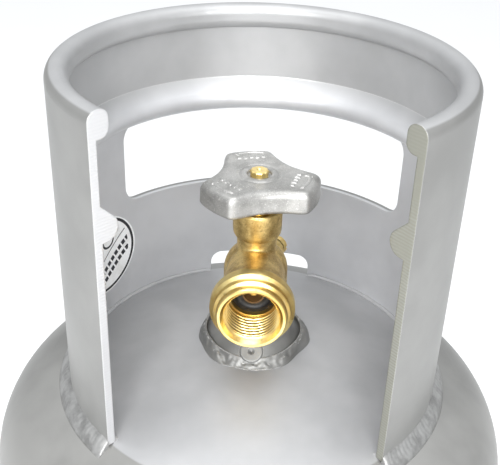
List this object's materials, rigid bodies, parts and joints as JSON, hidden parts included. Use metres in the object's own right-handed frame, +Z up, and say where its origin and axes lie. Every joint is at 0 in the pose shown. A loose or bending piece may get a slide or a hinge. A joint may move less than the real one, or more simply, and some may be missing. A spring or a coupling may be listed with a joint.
{
  "type": "gas cylinder",
  "caption": "Small welded aluminium LP-gas cylinder with an open guard collar, foot ring and brass overfill-protected valve with a lobed handwheel.",
  "frame": {"origin": "on the cylinder's axis, in the plane that the foot ring stands on", "axes": "+Z up along the cylinder's axis; the valve outlet and the collar's opening face -Y"},
  "size_m": [0.2278, 0.2278, 0.4698],
  "materials": {
    "shell": "satin blasted",
    "collar": "satin blasted, bright on cut faces",
    "weld": "rippled weld bead",
    "cast_brass": "rough cast and turned",
    "turned_brass": "turned",
    "die_cast": "grainy die-cast",
    "steel": "drawn wire and turned",
    "seal": "moulded",
    "float_plastic": "moulded",
    "cap_plastic": "moulded",
    "label": "printed vinyl"
  },
  "bodies": {
    "cylinder": {"upper_shell": "shell", "lower_shell": "shell", "backing_ring": "shell", "girth_weld": "weld", "collar": "collar", "collar_weld_outer": "weld", "collar_weld_inner": "weld", "collar_label": "label", "foot_ring": "collar", "foot_weld": "weld", "valve_boss": "shell", "boss_plug": "collar", "boss_weld": "weld", "valve_body": "cast_brass", "outlet_seal": "seal", "check_insert": "turned_brass", "outlet_spring": "steel", "relief_spring": "steel", "relief_adjuster": "turned_brass", "relief_cap": "cap_plastic", "bleeder_washer": "seal", "dip_tube": "steel", "bonnet_insert": "turned_brass", "bonnet_gasket": "seal", "stem_o_ring": "seal", "opd_housing": "float_plastic", "float_pin": "steel"},
    "handwheel": {"handwheel": "die_cast", "valve_stem": "turned_brass"},
    "seat_carrier": {"seat_carrier": "turned_brass", "seat_disc": "seal"},
    "outlet_poppet": {"outlet_poppet": "turned_brass"},
    "relief_poppet": {"relief_poppet": "turned_brass", "relief_seat_disc": "seal"},
    "bleeder_screw": {"bleeder_screw": "turned_brass"},
    "float": {"float_arm": "steel", "float": "float_plastic"},
    "opd_poppet": {"opd_poppet": "float_plastic"}
  },
  "joints": [
    {"name": "valve_turn", "type": "hinge", "parent": "cylinder", "child": "handwheel", "pos_m": [0, 0, 0.41776], "axis": [0, 0, 1], "range_deg": [0, 540]},
    {"name": "seat_lift", "type": "slide", "parent": "cylinder", "child": "seat_carrier", "axis": [0, 0, 1], "range_m": [0, 0.00225]},
    {"name": "outlet_push", "type": "slide", "parent": "cylinder", "child": "outlet_poppet", "axis": [0, 1, 0], "range_m": [0, 0.0022], "stiffness_N_per_m": 300, "springref_m": -0.003, "deforming": ["outlet_spring"]},
    {"name": "relief_lift", "type": "slide", "parent": "cylinder", "child": "relief_poppet", "axis": [0, 1, 0], "range_m": [0, 0.0015], "stiffness_N_per_m": 900, "springref_m": -0.005, "deforming": ["relief_spring"]},
    {"name": "bleeder_turn", "type": "hinge", "parent": "cylinder", "child": "bleeder_screw", "pos_m": [0.0084, 0.01455, 0.38176], "axis": [0.5, 0.866, 0], "range_deg": [0, 540]},
    {"name": "float_rise", "type": "hinge", "parent": "cylinder", "child": "float", "pos_m": [0, 0, 0.28876], "axis": [0, 1, 0], "range_deg": [0, 70]},
    {"name": "opd_close", "type": "slide", "parent": "cylinder", "child": "opd_poppet", "axis": [0, 0, 1], "range_m": [0, 0.002]}
  ],
  "couplings": [
    {"joint": "valve_turn", "follows": "seat_lift", "rad_per_m": 4188.8},
    {"joint": "float_rise", "follows": "opd_close", "rad_per_m": 610.87}
  ]
}
